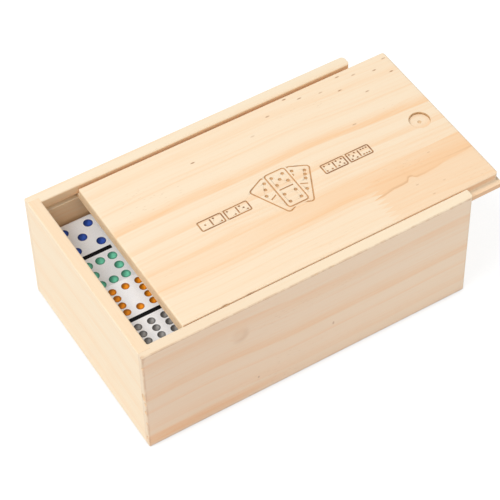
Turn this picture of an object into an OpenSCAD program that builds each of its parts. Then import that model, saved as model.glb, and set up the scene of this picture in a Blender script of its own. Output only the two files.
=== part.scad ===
// A pine storage box with a sliding lid, and the full double-twelve set of dominoes that it holds.
// Millimetres, +Z up. The origin is the centre of the box's underside, and the lid draws out along +X.
// The box is sized from what it holds: the dominoes set its inside, and the boards go round that.

/* [Dominoes] */
// Length of a domino
tile_l = 50; // [40:0.5:60]
// Width of a domino
tile_w = 24.5; // [20:0.1:30]
// Thickness of a domino
tile_t = 7.5; // [6:0.1:10]
// Corner radius of a domino, seen from above
tile_corner_r = 2.5; // [1.2:0.1:4]
// Rounding along a domino's edges
tile_edge_r = 1; // [0.4:0.1:1.2]
// Pip diameter on a half that counts nine or fewer
pip_d = 5; // [3:0.1:5.5]
// Pip diameter on a half that counts ten or more
small_pip_d = 4.2; // [2.5:0.1:4.4]
// Depth of a pip
pip_depth = 0.7; // [0.3:0.1:1.2]
// Plain margin between the pips and a domino's long edges
side_margin = 2.9; // [1.5:0.1:3.5]
// Plain margin between the pips and a domino's short edge
end_margin = 2.9; // [1.2:0.1:3]
// Plain margin between the pips and the bar
bar_margin = 2; // [1:0.1:2.6]
// Length of the bar across the middle of a domino's face
bar_l = 19; // [12:0.5:19.5]
// Width of that bar
bar_w = 2.4; // [1:0.1:2.8]
// Depth of that bar
bar_depth = 0.4; // [0.2:0.1:0.8]

/* [Packing] */
// Columns of dominoes along the box
columns = 7; // [3:1:10]
// Layers of dominoes in the near row
near_layers = 7; // [3:1:9]
// Layers of dominoes in the far row
far_layers = 6; // [2:1:9]
// Air between neighbouring columns
column_air = 0.1; // [0.05:0.05:0.5]
// Air between dominoes that lie on each other
stack_air = 0.05; // [0.03:0.01:0.1]
// Gap between the near row and the far row
row_gap = 2.2; // [0.2:0.1:4]
// Spare room between the left end board and the first column
left_play = 1.2; // [0.2:0.1:6]
// Spare room between the last column and the right end board
right_play = 1.7; // [0.2:0.1:6]
// Spare room between each row and its long wall
side_play = 1.4; // [0.2:0.1:6]
// Headroom between the top domino of the near row and the lid
headroom = 5.8; // [2:0.1:20]

/* [Box] */
// Thickness of the four walls
wall_t = 6.5; // [5:0.1:10]
// Thickness of the bottom board
bottom_t = 3; // [2.5:0.1:6]
// How far the bottom board is let into the walls
bottom_lap = 3; // [1.5:0.1:3.4]
// What is left of a long wall's thickness where an end board is lapped into it
lap_left = 3.5; // [2.5:0.1:4.5]
// How far the rims stand above the lid
rim_step = 1.2; // [0.5:0.1:4]
// Rounding of the outside arrises
arris_r = 0.5; // [0.3:0.1:2]
// Rounding of the rims' inside edges
rim_r = 0.9; // [0.3:0.1:1.5]
// Rounding of the two upright arrises at the right end, where the rims end free
right_arris_r = 3; // [0.6:0.1:3]
// Rounding of the inner corner of each rim's free end, seen from above
rim_end_r = 1.8; // [0.3:0.1:1.9]

/* [Lid] */
// Thickness of the lid
lid_t = 7.2; // [6:0.1:12]
// Thickness of the tongue along each long side of the lid
tongue_t = 2.8; // [1.5:0.1:4]
// How far the tongue stands out from the lid's upper part
tongue_reach = 3.2; // [2.5:0.1:4.2]
// Gap between the lid's upper part and each long wall
lid_side_gap = 1.2; // [0.5:0.1:1.8]
// Running clearance above and below the tongue
slide_gap = 0.25; // [0.1:0.05:0.6]
// Running clearance at the tip of the tongue
tongue_side_gap = 0.4; // [0.1:0.05:0.8]
// Clearance between the lid and the top of the right end board
lid_over_gap = 0.4; // [0.2:0.05:1]
// Gap between the shut lid and the left end board
lid_end_gap = 0.2; // [0.1:0.05:1]
// How far the shut lid stands out past the right end board
lid_overhang = 1.2; // [0:0.1:4]
// How far the lid is drawn out
lid_draw = 19.4; // [0:0.1:90]
// Corner radius of the lid's upper part at its right end
lid_corner_r = 3; // [0.9:0.1:5]
// The same at its left end
lid_left_corner_r = 1; // [0.9:0.1:3]
// Corner radius of the tongues' ends
tongue_corner_r = 1.2; // [0.5:0.1:2]
// Rounding of the lid's long top edges
lid_edge_r = 0.8; // [0.3:0.1:1.5]
// Rounding of the top edge at the lid's ends
lid_end_r = 1.3; // [0.3:0.1:2]
// Diameter of the finger dip
finger_d = 11; // [8:0.5:25]
// Depth of the finger dip
finger_depth = 1.5; // [0.5:0.1:3]
// Distance from the lid's right end to the middle of the finger dip
finger_inset = 12.6; // [8:0.1:30]
// Diameter of the drill's centre mark in the finger dip
drill_mark_d = 1.6; // [0.5:0.1:3]
// Depth of that mark
drill_mark_depth = 0.4; // [0.1:0.1:1]

/* [Engraving] */
// Depth of the burnt lines
engrave_depth = 0.3; // [0.1:0.05:0.8]
// Width of the lines of the fanned dominoes
fan_line = 0.8; // [0.4:0.1:1.2]
// Width of each fanned domino
fan_w = 12.5; // [8:0.5:20]
// Length of each fanned domino
fan_l = 25; // [16:0.5:40]
// Angle between neighbouring dominoes of the fan
fan_angle = 26; // [15:1:40]
// Distance from the middle of a fanned domino down to the point they fan about
fan_pivot = 16; // [0:0.5:20]
// Clear strip round the front domino of the fan
fan_clear = 0.8; // [0.4:0.1:2]
// Width of the lines of the small dominoes on either side
chain_line = 0.8; // [0.3:0.1:1]
// Width of each small domino
chain_w = 7; // [4:0.1:9]
// Length of each small domino
chain_l = 14; // [8:0.1:18]
// Gap between neighbouring small dominoes
chain_gap = 0.9; // [0.5:0.1:3]
// Small dominoes on each side of the fan
chain_count = 2; // [1:1:2]
// Clear strip between the fan and the nearest small domino
chain_clear = 3.2; // [1:0.1:8]
// How far the engraving's middle lies from the lid's middle, away from the finger dip
motif_shift = 3.4; // [0:0.1:10]
// How far the engraving's middle lies from the lid's centre line, towards the near wall
motif_drop = 3; // [0:0.1:10]

/* [Hidden] */
$fn = 64;
over = 1;
pine = [0.96, 0.85, 0.68];
pine_light = [0.98, 0.88, 0.72];
pine_dark = [0.90, 0.78, 0.60];
ivory = [0.94, 0.94, 0.95];

// The inside of the box, from its dominoes
inner_l = left_play + columns * tile_w + (columns - 1) * column_air + right_play;
inner_w = 2 * tile_l + row_gap + 2 * side_play;
layer_h = tile_t + stack_air;
near_top = bottom_t + near_layers * layer_h - stack_air;

// The lid and the outside of the box
lid_z = near_top + headroom;
box_l = inner_l + 2 * wall_t;
box_w = inner_w + 2 * wall_t;
box_h = lid_z + lid_t + rim_step;
lid_l = inner_l + wall_t - lid_end_gap + lid_overhang;
lid_w = inner_w - 2 * lid_side_gap;
lid_x = (lid_l - inner_l) / 2 + lid_end_gap + lid_draw;
groove_depth = tongue_reach - lid_side_gap + tongue_side_gap;
right_end_h = lid_z - lid_over_gap;

// Each domino's place: columns are counted from the left, and rows are -1 (near) and 1 (far)
function column_x(c) = -inner_l / 2 + left_play + tile_w / 2 + (c - 1) * (tile_w + column_air);
function row_y(row) = row * (tile_l + row_gap) / 2;
function layer_z(layer) = bottom_t + (layer - 1) * layer_h;

// The pips of one half, from its number: places on a grid of three columns, with three rows up to
// nine and four rows from ten on
function pip_grid(n) = n <= 9
    ? concat(
        n % 2 == 1 ? [[0, 0]] : [],
        n >= 2 ? [[-1, -1], [1, 1]] : [],
        n >= 4 ? [[-1, 1], [1, -1]] : [],
        n >= 6 ? [[-1, 0], [1, 0]] : [],
        n >= 8 ? [[0, -1], [0, 1]] : [])
    : concat(
        [for (x = [-1, 1], y = [-1.5 : 1.5]) [x, y]],
        n == 11 ? [[0, 0]] : [],
        n == 12 ? [[0, -0.5], [0, 0.5]] : [],
        [[0, -1.5], [0, 1.5]]);
function pip_size(n) = n <= 9 ? pip_d : small_pip_d;
function grid_gaps(n) = n <= 9 ? 2 : 3;

// The numbers on the top domino of each column: [near half, far half]
near_faces = [[12, 10], [9, 4], [6, 8], [11, 3], [2, 7], [5, 10], [1, 12]];
far_faces = [[8, 5], [3, 12], [10, 10], [4, 1], [9, 6], [7, 2], [11, 5]];
// The numbers of the engraved dominoes: the fan from left to right, then each chain outwards
fan_faces = [[2, 3], [4, 5], [3, 6]];
chain_faces = [[[3, 2], [2, 1]], [[4, 5], [5, 6]]];

near_tiles = [for (c = [1 : columns]) str("near_top_tile_", c)];
far_tiles = [for (c = [1 : columns]) str("far_top_tile_", c)];
near_stacks = [for (c = [1 : columns]) str("near_stack_", c)];
far_stacks = [for (c = [1 : columns]) str("far_stack_", c)];

// ---- Outlines and blocks ----

// A centred rectangle with round corners
module round_rect(w, h, r) {
    square([w - 2 * r, h], center = true);
    square([w, h - 2 * r], center = true);
    for (x = [-1, 1], y = [-1, 1])
        translate([x * (w / 2 - r), y * (h / 2 - r)]) circle(r);
}

// A block standing on z = 0, with round corners from above and softened edges
module soft_block(size, corner_r, edge_r) {
    intersection() {
        linear_extrude(size.z) round_rect(size.x, size.y, corner_r);
        translate([0, size.y / 2, size.z / 2]) rotate([90, 0, 0])
            linear_extrude(size.y) round_rect(size.x, size.z, edge_r);
        along_x(size.x) translate([0, size.z / 2]) round_rect(size.y, size.z, edge_r);
    }
}

// A section drawn in Y and Z, swept along X about the middle
module along_x(length) {
    translate([-length / 2, 0, 0]) rotate([90, 0, 90]) linear_extrude(length) children();
}

// ---- The box ----

// A rectangle about the middle with one corner radius at its left end and another at its right end
module two_radius_rect(length, width, left_r, right_r) {
    translate([(left_r - right_r) / 2, 0])
        square([length - left_r - right_r, width], center = true);
    for (end = [[-1, left_r], [1, right_r]])
        translate([end[0] * (length / 2 - end[1]), 0]) {
            square([2 * end[1], width - 2 * end[1]], center = true);
            for (side = [-1, 1]) translate([0, side * (width / 2 - end[1])]) circle(end[1]);
        }
}

module box_blank() {
    intersection() {
        soft_block([box_l, box_w, box_h], arris_r, arris_r);
        linear_extrude(box_h) two_radius_rect(box_l, box_w, arris_r, right_arris_r);
    }
}

// What a rim's free end loses to the rounding of its inner corner, above the right end board
module rim_end_trim() {
    translate([box_l / 2 - rim_end_r, -inner_w / 2 - rim_end_r, right_end_h])
        linear_extrude(box_h - right_end_h + over) difference() {
            square(rim_end_r + over);
            circle(rim_end_r);
        }
}

// Section of a wall whose top is a rim: inside face at 0, outside to the right, where the blank trims it
module rim_section() {
    square([wall_t + over, box_h - rim_r]);
    translate([rim_r, 0]) square([wall_t + over - rim_r, box_h + over]);
    translate([rim_r, box_h - rim_r]) circle(rim_r);
}

// Section of the low end board, which the lid passes over
module low_section() {
    square([wall_t, right_end_h - rim_r]);
    translate([rim_r, 0]) square([wall_t - 2 * rim_r, right_end_h]);
    for (x = [rim_r, wall_t - rim_r]) translate([x, right_end_h - rim_r]) circle(rim_r);
}

// The room that the bottom board takes up in the walls
module bottom_bed() {
    translate([0, 0, (bottom_t - over) / 2])
        cube([inner_l + 2 * bottom_lap, inner_w + 2 * bottom_lap, bottom_t + over], center = true);
}

// The lap cut in the end of a long wall, as high as the end board that sits in it
module end_lap(height) {
    translate([box_l / 2 - wall_t, lap_left - box_w / 2, -over])
        cube([wall_t + over, wall_t, height + over]);
}

// The long wall on the near side. Its groove is open at the right, so that the lid can be drawn out.
module long_wall() {
    difference() {
        intersection() {
            box_blank();
            translate([0, -inner_w / 2, 0]) along_x(box_l + 2 * over) mirror([1, 0]) rim_section();
        }
        translate([-box_l / 2 - over, -inner_w / 2 - groove_depth, lid_z - slide_gap])
            cube([box_l + 2 * over, groove_depth + over, tongue_t + 2 * slide_gap]);
        bottom_bed();
        end_lap(right_end_h);
        mirror([1, 0, 0]) end_lap(box_h + over);
        rim_end_trim();
    }
}

module front_wall() {
    color(pine) long_wall();
}

module back_wall() {
    color(pine) mirror([0, 1, 0]) long_wall();
}

// A board across the box at its +X end, as high as height, from a section whose inside face is at 0.
// Its two ends lie in the laps and stay square.
module end_board(height) {
    lapped = wall_t - lap_left;
    difference() {
        intersection() {
            box_blank();
            translate([inner_l / 2, 0, 0]) {
                translate([0, inner_w / 2, 0]) rotate([90, 0, 0]) linear_extrude(inner_w) children();
                for (y = [-inner_w / 2 - lapped, inner_w / 2])
                    translate([0, y, 0]) cube([wall_t, lapped, height]);
            }
        }
        bottom_bed();
    }
}

module left_end_board() {
    color(pine_light) mirror([1, 0, 0]) end_board(box_h) rim_section();
}

module right_end_board() {
    color(pine_light) end_board(right_end_h) low_section();
}

module bottom_board() {
    color(pine_dark) translate([0, 0, bottom_t / 2])
        cube([inner_l + 2 * bottom_lap, inner_w + 2 * bottom_lap, bottom_t], center = true);
}

// ---- The lid ----

// The finger dip with the drill's centre mark, turned about its own axis below z = 0
module finger_dip() {
    rotate_extrude() polygon([
        [0, -finger_depth - drill_mark_depth],
        [drill_mark_d / 2, -finger_depth],
        [finger_d / 2, -finger_depth],
        [finger_d / 2, over],
        [0, over]]);
}

// Line drawing of a domino standing on end, as big as size
module tile_drawing(size, line, face) {
    corner_r = size.x / 6;
    half_mid = size.y / 4;
    dot_d = size.x / 6.5;
    dot_pitch = [size.x / 3.9, size.x / 4.6];
    difference() {
        round_rect(size.x, size.y, corner_r);
        round_rect(size.x - 2 * line, size.y - 2 * line, corner_r - line);
    }
    square([size.x * 0.64, line], center = true);
    for (half = [0, 1], place = pip_grid(face[half]))
        translate([place.x * dot_pitch.x, (2 * half - 1) * half_mid + place.y * dot_pitch.y])
            circle(d = dot_d);
}

// Turns a drawing about the point that the fan opens from
module fanned(angle) {
    translate([0, -fan_pivot]) rotate(angle) translate([0, fan_pivot]) children();
}

// Three fanned dominoes, the middle one in front
module fan() {
    for (side = [-1, 1])
        difference() {
            fanned(-side * fan_angle) tile_drawing([fan_w, fan_l], fan_line, fan_faces[1 + side]);
            round_rect(fan_w + 2 * fan_clear, fan_l + 2 * fan_clear, fan_w / 6 + fan_clear);
        }
    tile_drawing([fan_w, fan_l], fan_line, fan_faces[1]);
}

// The small dominoes that lie end to end on both sides of the fan
module chains() {
    fan_reach = (fan_l / 2 + fan_pivot) * sin(fan_angle) + fan_w / 2 * cos(fan_angle);
    for (side = [0, 1], k = [0 : chain_count - 1])
        translate([(2 * side - 1) * (fan_reach + chain_clear + chain_l / 2 + k * (chain_l + chain_gap)), 0])
            rotate(side * 180 + 90) tile_drawing([chain_w, chain_l], chain_line, chain_faces[side][k]);
}

// The lid's upper part
module lid_top() {
    intersection() {
        linear_extrude(lid_t) two_radius_rect(lid_l, lid_w, lid_left_corner_r, lid_corner_r);
        translate([0, lid_w / 2, lid_t / 2]) rotate([90, 0, 0])
            linear_extrude(lid_w) round_rect(lid_l, lid_t, lid_end_r);
        along_x(lid_l) translate([0, lid_t / 2]) round_rect(lid_w, lid_t, lid_edge_r);
    }
}

module lid() {
    color(pine_light) translate([lid_x, 0, lid_z]) difference() {
        union() {
            linear_extrude(tongue_t) round_rect(lid_l, lid_w + 2 * tongue_reach, tongue_corner_r);
            lid_top();
        }
        translate([lid_l / 2 - finger_inset, 0, lid_t]) finger_dip();
        translate([-motif_shift, -motif_drop, lid_t - engrave_depth])
            linear_extrude(engrave_depth + over) {
                fan();
                chains();
            }
    }
}

// ---- The dominoes ----

module plain_tile() {
    soft_block([tile_w, tile_l, tile_t], tile_corner_r, tile_edge_r);
}

// A pip: the dip that a ball leaves, pip_depth deep and as wide as size at the face
module pip(size) {
    ball_r = (size * size / 4 + pip_depth * pip_depth) / (2 * pip_depth);
    translate([0, 0, ball_r - pip_depth]) sphere(ball_r);
}

// The pips of one half, on the far side of the bar
module half_pips(n) {
    field = tile_l / 2 - bar_w / 2 - bar_margin - end_margin;
    half_mid = bar_w / 2 + bar_margin + field / 2;
    column_pitch = (tile_w - 2 * side_margin - pip_size(n)) / 2;
    row_pitch = (field - pip_size(n)) / grid_gaps(n);
    for (place = pip_grid(n))
        translate([place.x * column_pitch, half_mid + place.y * row_pitch, 0]) pip(pip_size(n));
}

// A domino with its face up: face = [number on the near half, number on the far half]
module marked_tile(face) {
    difference() {
        plain_tile();
        translate([0, 0, tile_t]) {
            rotate(180) half_pips(face[0]);
            half_pips(face[1]);
        }
        translate([0, 0, tile_t - bar_depth])
            linear_extrude(bar_depth + over) square([bar_l, bar_w], center = true);
    }
}

module top_tile(c, row, layers, faces) {
    color(ivory) translate([column_x(c), row_y(row), layer_z(layers)])
        marked_tile(faces[(c - 1) % len(faces)]);
}

// The dominoes under a top one, each a piece of its own
module stack(c, row, layers) {
    color(ivory) for (layer = [1 : layers - 1])
        translate([column_x(c), row_y(row), layer_z(layer)]) plain_tile();
}

front_wall();
back_wall();
left_end_board();
right_end_board();
bottom_board();
lid();
for (c = [1 : columns]) {
    top_tile(c, -1, near_layers, near_faces);
    top_tile(c, 1, far_layers, far_faces);
    stack(c, -1, near_layers);
    stack(c, 1, far_layers);
}
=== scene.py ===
# %% [markdown]
# # A pine box full of dominoes
#
# The object is a storage box of bare, sanded pine. Four boards and a bottom make the body, a rebated lid
# slides in grooves in the two long walls, and inside stand fourteen piles of dominoes. This notebook gives
# the construction its looks: sawn wood with real growth rings, small chips along the arrises, burnt lines
# on the lid, and moulded dominoes with painted pips.
#
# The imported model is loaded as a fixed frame. Everything here is in metres in that frame, with +X along the
# box, the way the lid draws out, and +Z up.

# %% Load the frame
import math
import random

import bmesh
import bpy
from mathutils import Matrix, Vector


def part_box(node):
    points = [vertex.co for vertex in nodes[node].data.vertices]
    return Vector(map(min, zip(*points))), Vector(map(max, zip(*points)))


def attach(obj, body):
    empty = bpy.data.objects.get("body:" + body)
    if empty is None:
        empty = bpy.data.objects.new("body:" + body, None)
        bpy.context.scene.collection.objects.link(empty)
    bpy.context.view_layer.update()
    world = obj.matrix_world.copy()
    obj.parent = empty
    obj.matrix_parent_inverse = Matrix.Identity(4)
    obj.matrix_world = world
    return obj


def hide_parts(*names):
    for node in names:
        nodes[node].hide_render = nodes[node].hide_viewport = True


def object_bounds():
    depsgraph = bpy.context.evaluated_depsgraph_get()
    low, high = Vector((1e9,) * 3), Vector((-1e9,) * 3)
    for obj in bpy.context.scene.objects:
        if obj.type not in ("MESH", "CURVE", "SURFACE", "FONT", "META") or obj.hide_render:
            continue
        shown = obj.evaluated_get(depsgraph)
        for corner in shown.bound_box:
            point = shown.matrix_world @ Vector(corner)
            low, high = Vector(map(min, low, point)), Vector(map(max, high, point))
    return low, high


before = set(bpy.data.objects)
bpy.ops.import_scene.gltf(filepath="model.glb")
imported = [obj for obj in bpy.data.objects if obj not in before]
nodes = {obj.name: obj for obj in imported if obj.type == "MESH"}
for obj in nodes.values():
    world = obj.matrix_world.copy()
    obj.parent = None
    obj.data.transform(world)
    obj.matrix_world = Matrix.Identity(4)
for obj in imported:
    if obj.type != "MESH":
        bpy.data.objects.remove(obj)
cad_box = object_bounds()
scene = bpy.context.scene
MM = 0.001
corners = [[round(value, 4) for value in corner] for corner in cad_box]
print(f"{len(nodes)} nodes, from {corners[0]} to {corners[1]}")

# %% [markdown]
# ## The camera
#
# The photo is taken from the front left, from about 49 degrees up, with a long lens that hardly narrows the
# far end. The camera is written as a place, a point it looks at and a slight roll. The focal length is kept
# in pixels of the square photo, because that is how it was measured, and turned into millimetres here.

# %% Camera
photo_width = 500
focal_length_px = 2010
sensor_width = 36.0
camera_place = Vector((-0.3363, -0.5721, 0.8044))
look_at = Vector((-0.0020, -0.0033, 0.0350))
camera_roll = math.radians(-1.42)

camera = bpy.data.objects.new("camera", bpy.data.cameras.new("camera"))
camera.data.sensor_width = sensor_width
camera.data.lens = focal_length_px / photo_width * sensor_width
aim = (look_at - camera_place).to_track_quat("-Z", "Y").to_matrix().to_4x4()
camera.matrix_world = Matrix.Translation(camera_place) @ aim @ Matrix.Rotation(camera_roll, 4, "Z")
scene.collection.objects.link(camera)
scene.camera = camera
scene.view_settings.view_transform = "Standard"
print(f"camera: {camera.data.lens:.1f} mm lens, {(camera_place - look_at).length:.3f} m away")

# %% [markdown]
# ## Building node trees
#
# Every material and every Geometry Nodes tree below is written with the same few helpers. One makes a node
# and fills or links its inputs. The others are shorthand for arithmetic, which most of a procedural
# material consists of. They find the tree from the sockets that they are given.

# %% Node helpers
def add_node(tree, kind, inputs=None, **settings):
    """A new node; an input given as a socket is linked, and anything else is set as its value."""
    node = tree.nodes.new(kind)
    for name, value in settings.items():
        setattr(node, name, value)
    for name, value in (inputs or {}).items():
        if isinstance(value, bpy.types.NodeSocket):
            tree.links.new(value, node.inputs[name])
        else:
            node.inputs[name].default_value = value
    return node


def output(tree, kind, inputs=None, **settings):
    """The first output of a new node."""
    return add_node(tree, kind, inputs, **settings).outputs[0]


def tree_of(*values):
    """The tree that the first socket among some values belongs to, so that sums needn't be told."""
    return next(value.id_data for value in values if isinstance(value, bpy.types.NodeSocket))


def calc(operation, *values, clamp=False):
    """One sum on numbers and sockets, of which one at least is a socket."""
    inputs = dict(enumerate(values))
    return output(tree_of(*values), "ShaderNodeMath", inputs, operation=operation, use_clamp=clamp)


def plus(first, *others):
    """Numbers or sockets added up."""
    for other in others:
        first = calc("ADD", first, other)
    return first


def minus(first, second):
    """One number or socket less another."""
    return calc("SUBTRACT", first, second)


def times(first, second):
    """Two numbers or sockets multiplied."""
    return calc("MULTIPLY", first, second)


def vector_calc(operation, *values):
    """One sum on vectors; DOT_PRODUCT, LENGTH and DISTANCE give a number."""
    inputs = dict(enumerate(values))
    node = add_node(tree_of(*values), "ShaderNodeVectorMath", inputs, operation=operation)
    return node.outputs["Value" if operation in ("DOT_PRODUCT", "LENGTH", "DISTANCE") else "Vector"]


def scaled(vector, amount):
    """A vector made longer or shorter."""
    inputs = {0: vector, "Scale": amount}
    return output(tree_of(vector, amount), "ShaderNodeVectorMath", inputs, operation="SCALE")


def axes(vector):
    """The three parts of a vector, found by X, Y and Z."""
    return add_node(vector.id_data, "ShaderNodeSeparateXYZ", {0: vector}).outputs


def vector_of(**parts):
    """A vector with those parts called X, Y and Z, and 0 for the others."""
    return output(tree_of(*parts.values()), "ShaderNodeCombineXYZ", parts)


def fade(value, start, end, low=0.0, high=1.0):
    """Goes smoothly from low to high as value goes from start to end."""
    inputs = {"Value": value, "From Min": start, "From Max": end, "To Min": low, "To Max": high}
    return output(value.id_data, "ShaderNodeMapRange", inputs, interpolation_type="SMOOTHSTEP")


def turned_to(tree, direction, start, end, low=0.0, high=1.0):
    """Fades by the cosine of the angle between a face's normal and a direction."""
    normal = add_node(tree, "ShaderNodeTexCoord").outputs["Normal"]
    return fade(vector_calc("DOT_PRODUCT", normal, direction), start, end, low, high)


def mix(amount, below, above, blend_type="MIX"):
    """Two colours blended. The node has sockets for every type of value; these numbers are the colours'."""
    inputs = {0: amount, 6: below, 7: above}
    tree = tree_of(amount, below, above)
    return add_node(tree, "ShaderNodeMix", inputs, data_type="RGBA", blend_type=blend_type).outputs[2]


def noise(place, squeeze=None, scale=1.0, detail=2.0, roughness=0.5, kind="Fac"):
    """Cloudy noise, squeezed along each axis by that factor: one number, or three as kind "Color"."""
    if squeeze:
        place = vector_calc("MULTIPLY", place, squeeze)
    inputs = {"Vector": place, "Scale": scale, "Detail": detail, "Roughness": roughness}
    return add_node(place.id_data, "ShaderNodeTexNoise", inputs).outputs[kind]


def new_material(name, roughness, **sockets):
    """A material with one Principled shader, its tree and that shader."""
    material = bpy.data.materials.new(name)
    material.use_nodes = True
    shader = material.node_tree.nodes["Principled BSDF"]
    shader.inputs["Roughness"].default_value = roughness
    for socket, value in sockets.items():
        shader.inputs[socket.replace("_", " ")].default_value = value
    return material, material.node_tree, shader


def add_bump(tree, shader, height, strength, depth):
    """Fine relief on a shader, with its depth in millimetres."""
    bump = output(tree, "ShaderNodeBump", {"Strength": strength, "Distance": depth * MM, "Height": height})
    tree.links.new(bump, shader.inputs["Normal"])


print("node helpers ready")

# %% [markdown]
# ## Floor and light
#
# The photo is a product shot on pure white. A white floor alone never renders quite white, so the camera
# sees some light added to it, while the floor still takes the box's shadow and bounces light up at it. Only
# in the last few millimetres beside the box does that added light fade, which leaves the thin dark line of
# contact. The sky is plain. One large soft lamp high on the left makes the top and the left end bright and
# leaves the near side about a quarter darker, as the photo has it.

# %% Floor
floor_size = 6.0
floor_level = -0.2 * MM
floor_mesh = bpy.data.meshes.new("floor")
floor_corners = [(x * floor_size / 2, y * floor_size / 2, floor_level)
                 for x, y in ((-1, -1), (1, -1), (1, 1), (-1, 1))]
floor_mesh.from_pydata(floor_corners, [], [(0, 1, 2, 3)])
floor = bpy.data.objects.new("floor", floor_mesh)
scene.collection.objects.link(floor)


def seen_directly(tree):
    """1 for what the camera sees, straight or in a mirror or through glass, and 0 for light that bounces."""
    path = add_node(tree, "ShaderNodeLightPath")
    seen = calc("MAXIMUM", path.outputs["Is Camera Ray"], path.outputs["Is Glossy Ray"])
    return calc("MAXIMUM", seen, path.outputs["Is Transmission Ray"])


floor_white, floor_shown, floor_glow = 0.85, 0.30, 0.79
contact_reach, contact_level = 6 * MM, 0.60
floor_material = bpy.data.materials.new("white_floor")
floor_material.use_nodes = True
tree = floor_material.node_tree
tree.nodes.clear()
matt = output(tree, "ShaderNodeBsdfDiffuse", {"Color": (floor_white,) * 3 + (1,)})
shown = output(tree, "ShaderNodeBsdfDiffuse", {"Color": (floor_shown,) * 3 + (1,)})
openness = add_node(tree, "ShaderNodeAmbientOcclusion", {"Distance": contact_reach}).outputs["AO"]
glow_here = fade(openness, 0.2, 0.8, floor_glow * contact_level, floor_glow)
glow = output(tree, "ShaderNodeEmission", {"Strength": glow_here})
lit = output(tree, "ShaderNodeAddShader", {0: shown, 1: glow})
either = output(tree, "ShaderNodeMixShader", {0: seen_directly(tree), 1: matt, 2: lit})
add_node(tree, "ShaderNodeOutputMaterial", {"Surface": either})
floor_mesh.materials.append(floor_material)
print(f"a white floor, {floor_size:.0f} m wide")

# %% Sky and lamp
sky_level = 0.62
scene.world = scene.world or bpy.data.worlds.new("studio")
scene.world.use_nodes = True
tree = scene.world.node_tree
tree.nodes.clear()
level = fade(seen_directly(tree), 0, 1, sky_level, 1.0)
sky = output(tree, "ShaderNodeBackground", {"Color": (1, 1, 1, 1), "Strength": level})
add_node(tree, "ShaderNodeOutputWorld", {"Surface": sky})

lamp_level, lamp_width = 0.52, 1.4
lamp_distance = 2.6
lamp_direction = Vector((-0.50, 0.0, 0.86)).normalized()
lamp = bpy.data.objects.new("lamp", bpy.data.lights.new("lamp", "AREA"))
lamp.data.shape = "DISK"
lamp.data.size = lamp_width
lamp.data.energy = lamp_level * (math.pi * lamp_distance) ** 2
lamp.matrix_world = (Matrix.Translation(lamp_direction * lamp_distance)
                     @ lamp_direction.to_track_quat("Z", "Y").to_matrix().to_4x4())
scene.collection.objects.link(lamp)
print(f"lamp of {lamp.data.energy:.1f} W, sky at {sky_level}")

# %% [markdown]
# ## Pine
#
# A board is a slice of a trunk, and its pattern is what the cut shows of the trunk's rings. So the material
# is a solid texture: it works out how far each point lies from the pith, the middle of the trunk, and
# colours it by that distance. Faces, edges and end grain then agree with each other by themselves, which no
# flat pattern manages.
#
# Each board has its own pith. Its strongest bands are placed at the heights where the photo shows them
# on the visible face, and become rings of the right radius. A band darkens slowly towards one side and ends
# there, as late wood does. Between them run fine regular rings, fibres that are forty times as long as wide,
# and short resin canals. Marks are single spots: flecks, arrises rubbed brown, and painted shade in a few
# chips and along a bottom arris.

# %% The colours of pine, and marks on it
early_wood = (0.925, 0.775, 0.575, 1)
late_wood = (0.915, 0.610, 0.355, 1)
canal_brown = (0.52, 0.30, 0.15, 1)
knot_brown = (0.60, 0.37, 0.21, 1)
fleck_and_shade_brown = (0.40, 0.20, 0.09, 1)
knot_length, knot_width, crescent_width = 6.4, 6.8, 1.6


def board_space(tree, turn):
    """Object coordinates in millimetres, turned so that the grain runs along X."""
    place = add_node(tree, "ShaderNodeTexCoord").outputs["Object"]
    inputs = {"Vector": place, "Scale": (1 / MM,) * 3, "Rotation": (0, 0, turn)}
    return output(tree, "ShaderNodeMapping", inputs)


def spot(place, centre, half_length, half_width):
    """1 in the middle of a long spot on a face, fading to 0 at its edge. None leaves an axis free."""
    reach = (half_length, half_width, half_width)
    scale = tuple(0 if c is None else 1 / r for c, r in zip(centre, reach))
    from_centre = vector_calc("SUBTRACT", place, tuple(c or 0 for c in centre))
    distance = vector_calc("LENGTH", vector_calc("MULTIPLY", from_centre, scale))
    return fade(distance, 1.0, 0.35)


def spots(place, marks):
    """The strongest of many spots, each (centre, half length, half width, strength)."""
    strongest = 0.0
    for centre, half_length, half_width, strength in marks:
        here = times(spot(place, centre, half_length, half_width), strength)
        strongest = calc("MAXIMUM", strongest, here)
    return strongest


def knot(place, centre):
    """Where a knot lies, and the dark crescent along its lower right edge."""
    x, y, z = centre
    whole = spot(place, centre, knot_length, knot_width)
    shifted = spot(place, (x - crescent_width, y, z + crescent_width), knot_length, knot_width)
    return whole, calc("SUBTRACT", whole, shifted, clamp=True)


print("spots and knots ready")

# %% Rings, bands and resin canals
def distance_from_pith(place, grain_place, pith, wander, bend):
    """How far each point lies from the pith, and the place its fibres are looked up at, in millimetres.

    The trunk isn't straight: its rings wander sideways along the grain, and shift by the last two numbers of
    bend before and after its first two.
    """
    slow = noise(grain_place, (0.011, 0.012, 0.012), detail=1.5, kind="Color")
    centred = vector_calc("SUBTRACT", slow, (0.5,) * 3)
    sideways = vector_calc("MULTIPLY", centred, (0, 4 * wander, 4 * wander))
    grown = vector_calc("ADD", grain_place, sideways)
    from_pith = vector_calc("MULTIPLY", vector_calc("SUBTRACT", grown, (0, *pith)), (0, 1, 1))
    shift = fade(axes(place)["X"], *bend)
    return minus(vector_calc("LENGTH", from_pith), shift), grown


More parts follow.
